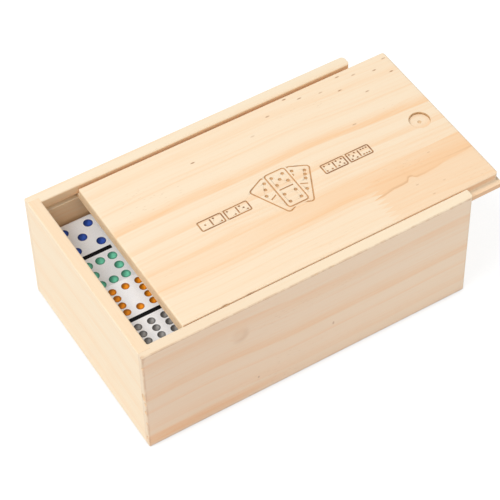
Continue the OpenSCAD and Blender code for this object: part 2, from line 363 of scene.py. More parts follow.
def fine_rings(radius, ring_gap, fine, seed):
    """Each ring darkens slowly and ends at a soft line. Their strength varies from ring to ring."""
    ring = calc("FRACT", calc("DIVIDE", radius, ring_gap))
    line = times(fade(ring, 0.35, 0.85), fade(ring, 1.0, 0.88))
    uneven = noise(vector_of(X=radius, Y=seed), scale=0.11, detail=3)
    lines = times(line, fade(uneven, 0.38, 0.72, 0.03 * fine, 0.30 * fine))
    return plus(lines, fade(uneven, 0.45, 0.75, 0.0, 0.30 * fine))


def add_bands(tone, radius, bands, strongest):
    """Lays the bands that show from a step away over the tone, wherever they are darker."""
    for dark_edge, faded_out, strength in bands:
        body = calc("POWER", fade(radius, faded_out, dark_edge), 1.4)
        outer = dark_edge - (faded_out - dark_edge) * 0.16
        band = times(body, fade(radius, outer, dark_edge, 0.0, strength))
        tone = calc("MAXIMUM", tone, times(band, strongest))
    return tone


def resin_canals(grain_place):
    """Short dark dashes, which show in a few patches only."""
    dash_place = vector_calc("MULTIPLY", grain_place, (0.20, 1.15, 1.15))
    distance = output(dash_place.id_data, "ShaderNodeTexVoronoi", {"Vector": dash_place, "Scale": 1.0})
    patch = noise(grain_place, (0.02, 0.06, 0.06), detail=1)
    return times(fade(distance, 0.22, 0.08), fade(patch, 0.56, 0.70, 0.0, 0.30))


print("rings, bands and canals ready")

# %% The pine
fibre_squeeze = (0.035, 1.4, 1.4)
seed_step = 37.0
knot_swell = 3.0


def pine(name, pith, bands, turn=0.0, seed=0.0, ring_gap=2.7, fine=1.0, wander=2.4, bend=(0, 1, 0, 0),
         shade=0.0, tints=(), end_tint=(0.90, 0.85, 0.80), late_wood_and_shade_faces=(), warm_patches=(), marks=(), wear_and_shade=(),
         ends=None, knot_at=None, staves=None):
    """Pine with its pith at (y, z) in board space. Bands are (radius, radius where it fades out, strength).

    Tints are (direction, colour) of faces, and the cut ends are tinted with end_tint. Faces given as
    (direction, extra tone) show more late wood: those cut along the rings, and, as painted shade, those in
    the gaps beside the lid. Warm_patches raise the tone in spots. Marks are spots of dark flecks, and of
    painted shade in a few chips. The spots of wear are arrises rubbed brown, and painted shade along a
    bottom arris. Ends is a tint that changes along the grain, as (start, tint there, stop, tint there).
    Staves is a function that gives each glued stave its own part of the trunk.
    """
    material, tree, shader = new_material(name, 0.58, Specular_IOR_Level=0.32)
    place = board_space(tree, turn)
    grain_place = vector_calc("ADD", place, (seed * seed_step, 0, 0))
    band_strength = 1.0
    if staves:
        shift, band_strength, shade = staves(place, shade)
        grain_place = vector_calc("ADD", grain_place, shift)

    radius, grown = distance_from_pith(place, grain_place, pith, wander, bend)
    if knot_at:
        in_knot, crescent = knot(place, knot_at)
        radius = plus(radius, times(in_knot, knot_swell))
    tone = fine_rings(radius, ring_gap, fine, seed)
    tone = add_bands(tone, radius, bands, band_strength)
    if warm_patches:
        tone = calc("MAXIMUM", tone, spots(place, warm_patches))

    # Fibres break the tone up along the grain.
    fibre = noise(grown, fibre_squeeze, detail=4, roughness=0.65)
    tone = times(tone, fade(fibre, 0.25, 0.7, 0.72, 1.18))
    tone = plus(tone, fade(fibre, 0.35, 0.75, -0.05, 0.13))

    # More late wood on faces cut along the rings, and as painted shade in gaps. Ends show hardly any pattern.
    for direction, extra in late_wood_and_shade_faces:
        tone = plus(tone, turned_to(tree, direction, 0.80, 0.97, 0.0, extra))
    along = (math.cos(turn), -math.sin(turn), 0)
    back = tuple(-a for a in along)
    on_end = plus(turned_to(tree, along, 0.6, 0.95), turned_to(tree, back, 0.6, 0.95))
    tone = times(tone, fade(on_end, 0, 1, 1.0, 0.35))
    tone = plus(tone, shade)

    # The tone becomes a colour, with the canals, the knot, the marks and the tints on top.
    colour = mix(tone, early_wood, late_wood)
    colour = mix(fade(tone, 1.05, 2.0, 0.0, 0.75), colour, knot_brown)
    colour = mix(resin_canals(grain_place), colour, canal_brown)
    if knot_at:
        colour = mix(times(in_knot, 0.10), colour, knot_brown)
        colour = mix(times(crescent, 0.30), colour, knot_brown)
    # Flecks and rubbed arrises are painted brown, and some of these spots are painted shade.
    for places, brown in ((marks, fleck_and_shade_brown), (wear_and_shade, knot_brown)):
        if places:
            blotchy = fade(noise(place, scale=0.22), 0.35, 0.62, 0.35, 1.0)
            colour = mix(times(spots(place, places), blotchy), colour, brown)
    for direction, tint in [*tints, (along, end_tint), (back, end_tint)]:
        tinted = mix(1.0, colour, (*tint, 1), "MULTIPLY")
        colour = mix(turned_to(tree, direction, 0.75, 0.97), colour, tinted)
    if ends:
        start, start_tint, stop, stop_tint = ends
        reached = fade(axes(place)["X"], start, stop)
        colour = mix(1.0, colour, mix(reached, (*start_tint, 1), (*stop_tint, 1)), "MULTIPLY")

    tree.links.new(colour, shader.inputs["Base Color"])
    tree.links.new(fade(fibre, 0.3, 0.7, 0.50, 0.66), shader.inputs["Roughness"])
    add_bump(tree, shader, plus(fibre, times(tone, -0.5)), 0.35, 0.08)
    return material


def rings_at(pith, face, places):
    """Bands as two radii and a strength, from where they cross a face: (axis, value) in board space."""
    axis, value = face

    def radius(across):
        return math.dist((value, across) if axis == "Y" else (across, value), pith)
    return [(radius(dark_edge), radius(faded_out), strength) for dark_edge, faded_out, strength in places]


print("pine ready")

# %% Each board's own pine
def box_mm(node):
    """A node's lowest and highest corners, in millimetres."""
    return [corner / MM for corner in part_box(node)]


wall_low, wall_high = box_mm("front_wall")
wall_thickness = wall_high.y - wall_low.y
left, near_face, rim = wall_low.x, wall_low.y, wall_high.z
right, inner_face = wall_high.x, wall_high.y

near_pith = (20.0, -150.0)
near_bands = [(60.8, 49, 0.44), (34.5, 45, 0.50), (24.0, 28.0, 0.33), (10, 19.5, 0.26)]
# Arrises rubbed brown; the spot along the bottom arris is painted contact shade.
worn_arrises_and_contact_shade = [((left, near_face, None), 1.2, 1.2, 0.45), ((None, near_face, rim), 1.0, 1.1, 0.50),
                ((left, near_face, rim), 3.0, 2.6, 0.70), ((None, near_face, 0.0), 1.0, 1.3, 0.50)]
# Dark flecks, and at the rim's inner edge two spots of painted shade inside chips by the slit.
near_flecks_and_slit_shade = [((12, None, 26), 0.8, 1.6, 0.50), ((-31.5, None, 12.3), 0.7, 1.2, 0.45),
              ((-44.5, inner_face, rim), 2.6, 0.9, 0.90), ((-30.5, inner_face, rim), 3.0, 0.6, 0.50)]
# A patch along the bottom raises the tone, most at the left end.
front_pine = pine("front_wall_pine", near_pith, rings_at(near_pith, ("Y", near_face), near_bands), seed=1,
                  fine=0.5, wander=1.3, bend=(-62, -5, 2.2, -1.6), tints=[((0, -1, 0), (1.04, 0.965, 0.97))],
                  end_tint=(0.95, 0.93, 0.93), late_wood_and_shade_faces=[((0, 0, 1), 0.12)], knot_at=(-41.5, None, 51.8),
                  ends=(left, (0.97, 0.955, 0.95), -left, (1.03, 1.05, 1.06)),
                  warm_patches=[((left, None, 4.8), 105, 5.4, 0.80)], marks=near_flecks_and_slit_shade, wear_and_shade=worn_arrises_and_contact_shade)
# Its inner face, in the gap beside the lid, gets more late wood as painted shade.
back_pine = pine("back_wall_pine", (-40.0, 190.0), [(150, 156, 0.5), (171, 177, 0.6), (134, 139, 0.4)],
                 seed=2, shade=-0.10, late_wood_and_shade_faces=[((0, -1, 0), 0.75)], end_tint=(0.95, 0.93, 0.93))

quarter = math.radians(-90)
lap_depth = 3.0
lap_line = near_face + wall_thickness - lap_depth
left_pith = (130.0, -140.0)
left_bands = [(64, 57, 0.16), (43, 50, 0.22), (25, 32, 0.24), (8, 16, 0.20)]
left_pine = pine("left_end_pine", left_pith, rings_at(left_pith, ("Y", -left), left_bands), turn=quarter,
                 seed=3, shade=0.05, fine=0.6, late_wood_and_shade_faces=[((0, 0, 1), 0.30)],
                 wear_and_shade=[((lap_line, None, None), 0.3, 1.0, 0.55)])
right_pine = pine("right_end_pine", (-30.0, -90.0), [(112, 118, 0.5), (133, 139, 0.4)], turn=quarter, seed=4)
bottom_pine = pine("bottom_pine", (30.0, -420.0), [(418, 421, 0.4), (425, 429, 0.5)], seed=5, ring_gap=6.0)
print("pine for the five boards")

# %% [markdown]
# ## The lid's pine
#
# The lid is wider than most pine trunks give clear wood, so it is glued up from staves, and the near stave
# is itself two lengths with a finger joint between them. Each stave comes from another place in the trunk.
# In the material that is a shift of the place where the pattern is looked up, chosen by which stave a point
# belongs to. The finger joint is a zigzag that decides where the near stave's two lengths meet.
#
# The burnt lines need no drawing here. They are cut 0.3 mm deep in the construction, so the material only
# darkens what lies below the top face inside the engraved field.

# %% The lid's staves
lid_low, lid_high = box_mm("lid")
near_stave_edge = -17.35
finger_joint_x, finger_pitch, finger_length = 54.6, 3.1, 6.6
stave_shift_left = (300.0, -61.0, 14.0)
stave_shift_right = (700.0, 47.0, -22.0)
line_slope, line_start = 0.071, -37.7
twig_x, twig_reach, twig_jump = 75.5, 3.2, 2.2


def above_grain_line(place, along, across):
    """How far across a point lies past the dark grain line, which climbs and jumps where a twig once grew."""
    climb = plus(times(along, line_slope), line_start)
    from_twig = calc("ABSOLUTE", minus(along, twig_x))
    twig = fade(from_twig, twig_reach, 0.4, 0.0, twig_jump)
    wobble = noise(place, (0.09, 0.05, 0))
    jumps = plus(twig, fade(wobble, 0.3, 0.7, -0.45, 0.45))
    return minus(minus(across, climb), jumps)


def lid_staves(place, shade):
    """How far to shift the pattern, where the listed bands hold, and what tone each stave adds."""
    parts = axes(place)
    along, across = parts["X"], parts["Y"]
    near = fade(across, near_stave_edge + 0.08, near_stave_edge - 0.08)
    in_finger = calc("PINGPONG", across, finger_pitch / 2)
    zigzag = times(in_finger, 2 * finger_length / finger_pitch)
    joint = plus(zigzag, finger_joint_x - finger_length / 2)
    right_length = times(fade(minus(along, joint), -0.3, 0.3), near)
    left_length = minus(near, right_length)
    shift = vector_calc("ADD", scaled(stave_shift_left, left_length), scaled(stave_shift_right, right_length))

    # The right length is dark above its grain line and pale below. The left one darkens to the right.
    above = above_grain_line(place, along, across)
    line_body = times(fade(above, 2.4, 0.2), fade(along, 72, 100, 0.75, 0.25))
    line = times(fade(above, -0.6, 0.2), line_body)
    body = times(fade(above, -0.5, 0.3), fade(above, 14, 1, 0.60, 0.84))
    foot = fade(above, 0.2, -14, 0.46, 0.38)
    right_tone = plus(line, calc("MAXIMUM", body, foot))
    left_tone = fade(across, -31.5, -26, 0.04, fade(along, -30, 45, 0.30, 0.62))
    from_seam = calc("ABSOLUTE", minus(across, near_stave_edge))
    seam = fade(from_seam, 0.4, 0.1, 0.0, 0.22)
    extra = plus(times(right_length, right_tone), times(left_length, left_tone), seam, shade)
    return shift, minus(1.0, near), extra


print(f"near stave below y = {near_stave_edge} mm, its finger joint at x = {finger_joint_x} mm")

# %% The lid's own pine
lid_slit = -51.2
lid_pith = (190.0, 10.0)
lid_bands = [(41.5, 50, 0.34), (13.2, 23, 0.84), (-1.2, 6.0, 0.54), (-9.5, -5.5, 0.30), (-18, -9, 0.66)]
lid_flecks = [(24, 35.6), (37.8, 43.5), (51.3, 49.3), (58.4, 45.8), (70, 43.5), (79.4, 39.5), (83.4, 48.5),
              (91.5, 45.4), (102.5, 42.4), (109.6, 37), (111.5, 47.2), (91, 31.4), (72.3, 15.1), (-11, 36)]
faint_flecks = [(92.9, -21.1), (79.3, -45.6), (88.9, -40.6), (75.7, -36.3)]
lid_flecks_and_slit_shade = [((x, y, None), 1.7, 0.62, 0.85) for x, y in lid_flecks]
lid_flecks_and_slit_shade += [((x, y, None), 1.2, 0.6, 0.35) for x, y in faint_flecks]
# Two spots at the slit are painted shade inside the chips there.
lid_flecks_and_slit_shade += [((-44.8, lid_slit, None), 2.6, 0.8, 0.95), ((-30.5, lid_slit, None), 3.6, 0.5, 0.50)]
# Its side faces, in the gaps beside the rims, get more late wood and the near one a pinker tint, as painted
# shade.
lid_pine = pine("lid_pine", lid_pith, rings_at(lid_pith, ("Z", lid_high.z), lid_bands), seed=6, wander=1.5,
                bend=(35, 125, 0.0, 4.4), end_tint=(0.98, 0.91, 0.81),
                tints=[((0, 0, 1), (1.018, 0.990, 0.975)), ((0, -1, 0), (0.97, 0.92, 0.94))],
                late_wood_and_shade_faces=[((0, 1, 0), 0.75), ((0, -1, 0), 0.55)], marks=lid_flecks_and_slit_shade,
                wear_and_shade=[((lid_low.x, None, lid_low.z + 1), 1.5, 4.5, 0.25)], staves=lid_staves)
print(f"lid pine with {len(lid_bands)} bands and {len(lid_flecks_and_slit_shade)} marks")

# %% The burnt lines
lid_middle = (lid_low + lid_high) / 2
motif_middle = (lid_middle.x - 3.4, lid_middle.y - 3.0)
motif_reach = (52.0, 19.0)
burn_start, burn_full = 0.02, 0.20
fan_edge = (17.5, 19.5)
burnt_light = (0.62, 0.34, 0.145, 1)
burnt_dark = (0.31, 0.135, 0.060, 1)
tree = lid_pine.node_tree
shader = tree.nodes["Principled BSDF"]
wood = shader.inputs["Base Color"].links[0].from_socket
place = board_space(tree, 0.0)
parts = axes(place)
in_field = 1.0
for axis, middle, reach in zip("XY", motif_middle, motif_reach):
    off = calc("ABSOLUTE", minus(parts[axis], middle))
    in_field = times(in_field, calc("LESS_THAN", off, reach))
below_top = fade(parts["Z"], lid_high.z - burn_start, lid_high.z - burn_full)
burn = times(below_top, in_field)
heat = noise(place, (0.06, 0.30, 0.30), detail=3)
from_middle = minus(parts["X"], motif_middle[0])
outside_fan = fade(calc("ABSOLUTE", from_middle), *fan_edge, -0.16, 0.04)
hotter = plus(outside_fan, fade(from_middle, 20, 50, 0.0, 0.14))
heat_level = fade(plus(heat, hotter), 0.32, 0.68)
burnt = mix(heat_level, burnt_light, burnt_dark)
tree.links.new(mix(times(burn, 0.92), wood, burnt), shader.inputs["Base Color"])
print(f"burnt lines within {motif_reach[0]:.0f} mm of x = {motif_middle[0]:.1f} mm")

# %% [markdown]
# ## From tree to piece
#
# A Geometry Nodes tree is built once and used many times, with other numbers each time. So that a tree can
# be read on its own, its sizes are named inputs. The helper below starts a tree with those inputs, and the
# next one runs it on a starting mesh and keeps the result as a plain mesh.

# %% Geometry Nodes helpers
def new_geometry_tree(name, **inputs):
    """A tree with a geometry going in and out, and named inputs given as name="Float" and the like."""
    tree = bpy.data.node_groups.new(name, "GeometryNodeTree")
    tree.interface.new_socket("Geometry", in_out="INPUT", socket_type="NodeSocketGeometry")
    for label, kind in inputs.items():
        tree.interface.new_socket(label.replace("_", " "), in_out="INPUT", socket_type="NodeSocket" + kind)
    tree.interface.new_socket("Geometry", in_out="OUTPUT", socket_type="NodeSocketGeometry")
    return tree, tree.nodes.new("NodeGroupInput").outputs


def finish_tree(tree, geometry, **material):
    """Ends a tree in Realize Instances and Set Material, so that the export gets plain faces."""
    real = output(tree, "GeometryNodeRealizeInstances", {"Geometry": geometry})
    painted = output(tree, "GeometryNodeSetMaterial", {"Geometry": real, **material})
    add_node(tree, "NodeGroupOutput", {"Geometry": painted})


def plain_mesh(piece):
    """Turns what a piece's modifiers make of it into its own mesh."""
    result = bpy.data.meshes.new_from_object(piece.evaluated_get(bpy.context.evaluated_depsgraph_get()))
    piece.modifiers.clear()
    piece.data = result
    result.name = piece.name
    return piece


def run_tree(tree, name, mesh, **values):
    """A new piece: the tree's result on mesh, with the named inputs set by their sockets' identifiers."""
    piece = bpy.data.objects.new(name, mesh)
    step = piece.modifiers.new(tree.name, "NODES")
    step.node_group = tree
    for socket in tree.interface.items_tree:
        if socket.in_out == "INPUT" and socket.name.replace(" ", "_") in values:
            step[socket.identifier] = values[socket.name.replace(" ", "_")]
    scene.collection.objects.link(piece)
    return plain_mesh(piece)


def smooth_but_sharp(piece, angle=30):
    """Shades a piece smooth, keeps its sharp edges sharp, and lets the large flat faces rule the normals."""
    piece.data.shade_smooth()
    piece.data.set_sharp_from_angle(angle=math.radians(angle))
    weighted = piece.modifiers.new("weighted normals", "WEIGHTED_NORMAL")
    weighted.weight = 100
    weighted.keep_sharp = True
    return plain_mesh(piece)


def attribute(tree, name, kind):
    """A named attribute of the mesh, as a socket."""
    return output(tree, "GeometryNodeInputNamedAttribute", {"Name": name}, data_type=kind)


def add_to_body(piece, body, slot, *replaced):
    """What every piece says: what it moves with, and what it stands for. Slot is not used."""
    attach(piece, body)
    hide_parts(*replaced)


print("geometry helpers ready")

# %% [markdown]
# ## Domino plastic and paint
#
# The dominoes are moulded in a cool white plastic with a soft gloss. Their pips are shallow bowls, filled
# with a satin paint. Its colour is painted lighter at the bottom of each bowl and darker at the rim and on
# one side, as painted light and shade. Each number has its own colour, so that a player finds a match at a
# glance.

# %% Plastic
plastic_cool, plastic_plain = (0.82, 0.83, 0.86, 1), (0.87, 0.875, 0.885, 1)
ivory, tree, shader = new_material("domino_ivory", 0.26, Specular_IOR_Level=0.5)
place = board_space(tree, 0.0)
flow = noise(place, scale=0.16)
tree.links.new(mix(flow, plastic_cool, plastic_plain), shader.inputs["Base Color"])
scuffs = noise(place, scale=1.7, detail=4, roughness=0.7)
tree.links.new(fade(scuffs, 0.3, 0.75, 0.20, 0.38), shader.inputs["Roughness"])
add_bump(tree, shader, scuffs, 0.15, 0.02)
print("domino plastic ready")

# %% Paint
tile_low, tile_high = box_mm("near_top_tile_1")
tile_size = tile_high - tile_low
tile_thickness = round(tile_size.z, 3)
layer_gap = 0.05
layer_height = tile_thickness + layer_gap
stack_bottom = round(box_mm("near_stack_1")[0].z, 3)
pip_depth, bar_depth = 0.7, 0.4
# Painted shade at the rim and on one side of each recess, and painted light at its bottom.
shaded_side_direction = (0.75, -0.66, 0.0)
rim_shade_level, bottom_light_level, side_shade_level = 0.45, 1.1, 0.22


def paint(name, colour, roughness=0.50, metallic=0.0, specular=0.18, depth=pip_depth):
    """Satin paint in a recess of that depth in a domino's face, with painted light and shade in its colour.
    """
    material, tree, shader = new_material(name, roughness, Metallic=metallic, Specular_IOR_Level=specular)
    place = board_space(tree, 0.0)
    above_bottom = minus(axes(place)["Z"], stack_bottom)
    in_layer = calc("FLOORED_MODULO", above_bottom, layer_height)
    # Painted light towards the bottom of the recess, and painted shade at its rim.
    towards_lit_bottom = fade(in_layer, tile_thickness, tile_thickness - depth)
    mottle = noise(place, scale=0.9, detail=3)
    amount = calc("ADD", towards_lit_bottom, minus(mottle, 0.5), clamp=True)
    # Painted shade on the side of the recess that faces this way.
    side_shade = turned_to(tree, shaded_side_direction, -0.16, 0.42, 0.0, 0.60)
    shaded_rim_colour, lit_bottom_colour, shaded_side_colour = (
        tuple(c * level for c in colour) + (1,) for level in (rim_shade_level, bottom_light_level, side_shade_level))
    painted = mix(side_shade, mix(amount, shaded_rim_colour, lit_bottom_colour), shaded_side_colour)
    tree.links.new(painted, shader.inputs["Base Color"])
    uneven_gloss = fade(mottle, 0.3, 0.7, roughness - 0.06, roughness + 0.08)
    tree.links.new(uneven_gloss, shader.inputs["Roughness"])
    return material


number_colours = {
    1: (0.11, 0.45, 0.80), 2: (0.03, 0.33, 0.09), 3: (0.68, 0.03, 0.03), 4: (0.22, 0.09, 0.04),
    5: (0.03, 0.09, 0.45), 6: (0.90, 0.58, 0.02), 7: (0.80, 0.10, 0.32), 8: (0.16, 0.62, 0.42),
    9: (0.25, 0.10, 0.48), 10: (0.80, 0.26, 0.005), 11: (0.32, 0.02, 0.04), 12: (0.27, 0.265, 0.26)}
pip_paints = {n: paint(f"pip_paint_{n}", colour, metallic=0.3 if n == 12 else 0.0)
              for n, colour in number_colours.items()}
bar_paint = paint("bar_black", (0.006, 0.006, 0.007), roughness=0.6, specular=0.10, depth=bar_depth)
print(f"{len(pip_paints)} pip colours")

# %% [markdown]
# ## One domino
#
# A domino is a block with round corners and softened edges. Its pips stand on a grid of three columns, with
# three rows up to nine and four rows from ten on. From ten on the pips are smaller, so that four rows fit.
# The recesses are real: a bowl is cut out of the block at every pip, and a slot at the bar. The cutters mark
# the faces they leave behind, and each marked face gets the paint of the half or the bar that it lies in.

# %% The blank and the pips' places
corner_radius, edge_radius = 2.5, 1.0
side_margin, end_margin, bar_margin = 2.9, 2.9, 2.0
bar_length, bar_width = 19.0, 2.4
pip_width, small_pip_width = 5.0, 4.2
corner_angle = 1.2  # radians


def domino_blank(low, high):
    """A plain domino as a mesh, at the bottom of the space from low to high, in millimetres."""
    centre = Vector(((low.x + high.x) / 2, (low.y + high.y) / 2, low.z + tile_size.z / 2))
    form = bmesh.new()
    bmesh.ops.create_cube(form, size=1, matrix=Matrix.Translation(centre) @ Matrix.Diagonal((*tile_size, 1)))
    upright = [e for e in form.edges if abs(e.verts[0].co.z - e.verts[1].co.z) > tile_size.z / 2]
    bmesh.ops.bevel(form, geom=upright, offset=corner_radius, segments=7, profile=0.5, affect="EDGES")
    outline = [e for e in form.edges if len(e.link_faces) == 2 and e.calc_face_angle() > corner_angle]
    bmesh.ops.bevel(form, geom=outline, offset=edge_radius, segments=4, profile=0.5, affect="EDGES")
    bmesh.ops.scale(form, vec=(MM,) * 3, verts=form.verts)
    mesh = bpy.data.meshes.new("domino blank")
    form.to_mesh(mesh)
    form.free()
    mesh.materials.append(ivory)
    return mesh


def pip_grid(number):
    """The places of a number's pips: columns -1, 0 and 1, and rows counted from the middle of the half."""
    if number >= 10:
        sides = [(x, y) for x in (-1, 1) for y in (-1.5, -0.5, 0.5, 1.5)]
        inner = {10: [], 11: [0], 12: [-0.5, 0.5]}[number]
        return sides + [(0, y) for y in (-1.5, 1.5, *inner)]
    added = [(1, [(0, 0)])] if number % 2 else []
    added += [(2, [(-1, -1), (1, 1)]), (4, [(-1, 1), (1, -1)])]
    added += [(6, [(-1, 0), (1, 0)]), (8, [(0, -1), (0, 1)])]
    return [pip for least, pips in added if number >= least for pip in pips]


def pip_places(middle, near, far):
    """Every pip of a domino as (x, y, z, width), in millimetres, with the middle of its top face given."""
    found = []
    field = tile_size.y / 2 - bar_width / 2 - bar_margin - end_margin
    half = bar_width / 2 + bar_margin + field / 2
    for number, way in ((near, -1), (far, 1)):
        width, gaps = (pip_width, 2) if number <= 9 else (small_pip_width, 3)
        across = (tile_size.x - 2 * side_margin - width) / 2
        along = (field - width) / gaps
        found += [(middle.x + way * x * across, middle.y + way * (half + y * along), middle.z, width)
                  for x, y in pip_grid(number)]
    return found


print("a double twelve has", len(pip_places(Vector(), 12, 12)), "pips")

# %% The cutters
def revolved(name, profile, turns):
    """A closed mesh turned about Z, from (radius, height) pairs that start and end on the axis."""
    (_, bottom), *rings, (_, top) = profile
    points = [(0, 0, bottom)]
    points += [(r * math.cos(math.tau * t / turns), r * math.sin(math.tau * t / turns), z)
               for r, z in rings for t in range(turns)]
    points += [(0, 0, top)]
    last = len(rings) - 1

    def on_ring(k, t):
        return 1 + k * turns + t % turns
    faces = [(0, on_ring(0, t + 1), on_ring(0, t)) for t in range(turns)]
    faces += [(on_ring(k, t), on_ring(k, t + 1), on_ring(k + 1, t + 1), on_ring(k + 1, t))
              for k in range(last) for t in range(turns)]
    faces += [(on_ring(last, t), on_ring(last, t + 1), len(points) - 1) for t in range(turns)]
    mesh = bpy.data.meshes.new(name)
    mesh.from_pydata(points, [], faces)
    return mesh


# A bowl one wide, as a ball presses it, with its rim rounded over. Only its width is scaled to each pip.
bowl_steps, bowl_radius, bowl_turns = 8, 0.485, 28
parts = [k / bowl_steps for k in range(bowl_steps)]
bowl = [(bowl_radius * part, -pip_depth * MM * (1 - part ** 2)) for part in parts]
bowl += [(0.468, -0.07 * MM), (0.486, -0.02 * MM), (0.50, 0.004 * MM), (0.55, 0.5 * MM), (0, 0.5 * MM)]
pip_shape = bpy.data.objects.new("pip shape", revolved("pip shape", bowl, bowl_turns))
print(f"a bowl of {len(pip_shape.data.polygons)} faces")

# %% The domino tree
past_bar = 0.05 * MM
tree, given = new_geometry_tree("marked domino", Pips="Object", Pip_shape="Object", Middle="Vector",
                                Bar="Vector", Near_paint="Material", Far_paint="Material",
                                Bar_paint="Material", Plastic="Material")
points, bowl = (add_node(tree, "GeometryNodeObjectInfo", {"Object": given[label]}).outputs["Geometry"]
                for label in ("Pips", "Pip shape"))
width = attribute(tree, "pip_width", "FLOAT")
size = vector_of(X=width, Y=width, Z=1.0)
bowls = output(tree, "GeometryNodeInstanceOnPoints", {"Points": points, "Instance": bowl, "Scale": size})
bowls = output(tree, "GeometryNodeRealizeInstances", {"Geometry": bowls})
slot_block = output(tree, "GeometryNodeMeshCube", {"Size": given["Bar"]})
slot_block = output(tree, "GeometryNodeTransform", {"Geometry": slot_block, "Translation": given["Middle"]})
cutters = add_node(tree, "GeometryNodeJoinGeometry", {"Geometry": bowls})
tree.links.new(slot_block, cutters.inputs[0])
inputs = {"Geometry": cutters.outputs[0], "Name": "recess", "Value": True}
marked = output(tree, "GeometryNodeStoreNamedAttribute", inputs, data_type="BOOLEAN", domain="FACE")
inputs = {"Mesh 1": given["Geometry"], "Mesh 2": marked}
cut = output(tree, "GeometryNodeMeshBoolean", inputs, operation="DIFFERENCE", solver="MANIFOLD")
recess = attribute(tree, "recess", "BOOLEAN")
position = output(tree, "GeometryNodeInputPosition")
towards_far = axes(vector_calc("SUBTRACT", position, given["Middle"]))["Y"]
towards_near = times(towards_far, -1.0)
beside_bar = plus(times(axes(given["Bar"])["Y"], 0.5), past_bar)
in_near_half = times(recess, calc("GREATER_THAN", towards_near, beside_bar))
in_far_half = times(recess, calc("GREATER_THAN", towards_far, beside_bar))
painted = output(tree, "GeometryNodeSetMaterial", {"Geometry": cut, "Material": given["Plastic"]})
for where, label in ((recess, "Bar paint"), (in_near_half, "Near paint"), (in_far_half, "Far paint")):
    inputs = {"Geometry": painted, "Selection": where, "Material": given[label]}
    painted = output(tree, "GeometryNodeSetMaterial", inputs)
is_plastic = output(tree, "GeometryNodeMaterialSelection", {"Material": given["Plastic"]})
finish_tree(tree, painted, Selection=is_plastic, Material=given["Plastic"])
domino_tree = tree


def marked_domino(name, node, near, far):
    """A domino in the place of a CAD node, with its two numbers."""
    low, high = box_mm(node)
    middle = Vector(((low.x + high.x) / 2, (low.y + high.y) / 2, low.z + tile_size.z))
    places = pip_places(middle, near, far)
    pips = bpy.data.meshes.new("pips")
    pips.from_pydata([(x * MM, y * MM, z * MM) for x, y, z, _ in places], [], [])
    widths = pips.attributes.new("pip_width", "FLOAT", "POINT")
    widths.data.foreach_set("value", [width * MM for *_, width in places])
    pips = bpy.data.objects.new("pips", pips)
    bar = (bar_length * MM, bar_width * MM, 2 * bar_depth * MM)
    domino = run_tree(domino_tree, name, domino_blank(low, high), Pips=pips, Pip_shape=pip_shape,
                      Middle=middle * MM, Bar=bar, Near_paint=pip_paints[near], Far_paint=pip_paints[far],
                      Bar_paint=bar_paint, Plastic=ivory)
    bpy.data.objects.remove(pips)
    add_to_body(smooth_but_sharp(domino), "box", "domino_plastic", node)
    return domino


print("the domino tree has", len(domino_tree.nodes), "nodes")

# %% The fourteen top dominoes
near_faces = [(12, 10), (9, 4), (6, 8), (11, 3), (2, 7), (5, 10), (1, 12)]
far_faces = [(8, 5), (3, 12), (10, 10), (4, 1), (9, 6), (7, 2), (11, 5)]
for row, faces in (("near", near_faces), ("far", far_faces)):
    for column, (near, far) in enumerate(faces, 1):
        domino = marked_domino(f"{row}_domino_{column}", f"{row}_top_tile_{column}", near, far)
        painted = sum(face.material_index > 0 for face in domino.data.polygons)
        print(f"{domino.name}: {near + far} pips, {painted / (near + far):.0f} painted faces for each")

# %% [markdown]
# ## The piles
#
# Under each top domino lie five or six more. A line of points, one for each layer, carries a copy of the
# blank at every point. Hand-packed dominoes never line up quite, so each copy slides a little along its
# length, by an amount that the pile's own seed fixes.

# %% The pile tree
tree, given = new_geometry_tree("pile", Count="Int", Pitch="Float", Slip="Float", Seed="Int",
                                Plastic="Material")
step = vector_of(Z=given["Pitch"])
line = output(tree, "GeometryNodeMeshLine", {"Count": given["Count"], "Offset": step})
back, forth = vector_of(Y=times(given["Slip"], -1.0)), vector_of(Y=given["Slip"])
inputs = {0: back, 1: forth, "Seed": given["Seed"]}
slide = output(tree, "FunctionNodeRandomValue", inputs, data_type="FLOAT_VECTOR")
layers = output(tree, "GeometryNodeSetPosition", {"Geometry": line, "Offset": slide})
copies = output(tree, "GeometryNodeInstanceOnPoints", {"Points": layers, "Instance": given["Geometry"]})
finish_tree(tree, copies, Material=given["Plastic"])
pile_tree = tree

slip = 0.35
for row, first_seed in (("near", 0), ("far", 10)):
    for column in range(1, 8):
        node = f"{row}_stack_{column}"
        low, high = box_mm(node)
        count = round((high.z - low.z) / layer_height)
        pile = run_tree(pile_tree, f"{row}_pile_{column}", domino_blank(low, high), Count=count,
                        Pitch=layer_height * MM, Slip=slip * MM, Seed=first_seed + column, Plastic=ivory)
        add_to_body(smooth_but_sharp(pile), "box", "domino_plastic", node)
print("fourteen piles")

# %% [markdown]
# ## Chips along the arrises
#
# The construction's boards have the right shape, so each one here starts as a copy of its CAD mesh. What a
# real pine box adds are small chips, where fibres tore out when an edge was planed or knocked. The photo
# shows six on the near left corner and three along the slit beside the lid. The others are scattered.
#
# A chip is long along the grain and shallow. Its cutter is a pebble, placed on the arris by a tree, which
# stretches each copy by the chip's own size and then roughens it with noise. The boards lose the chips
# where the boolean takes them away.

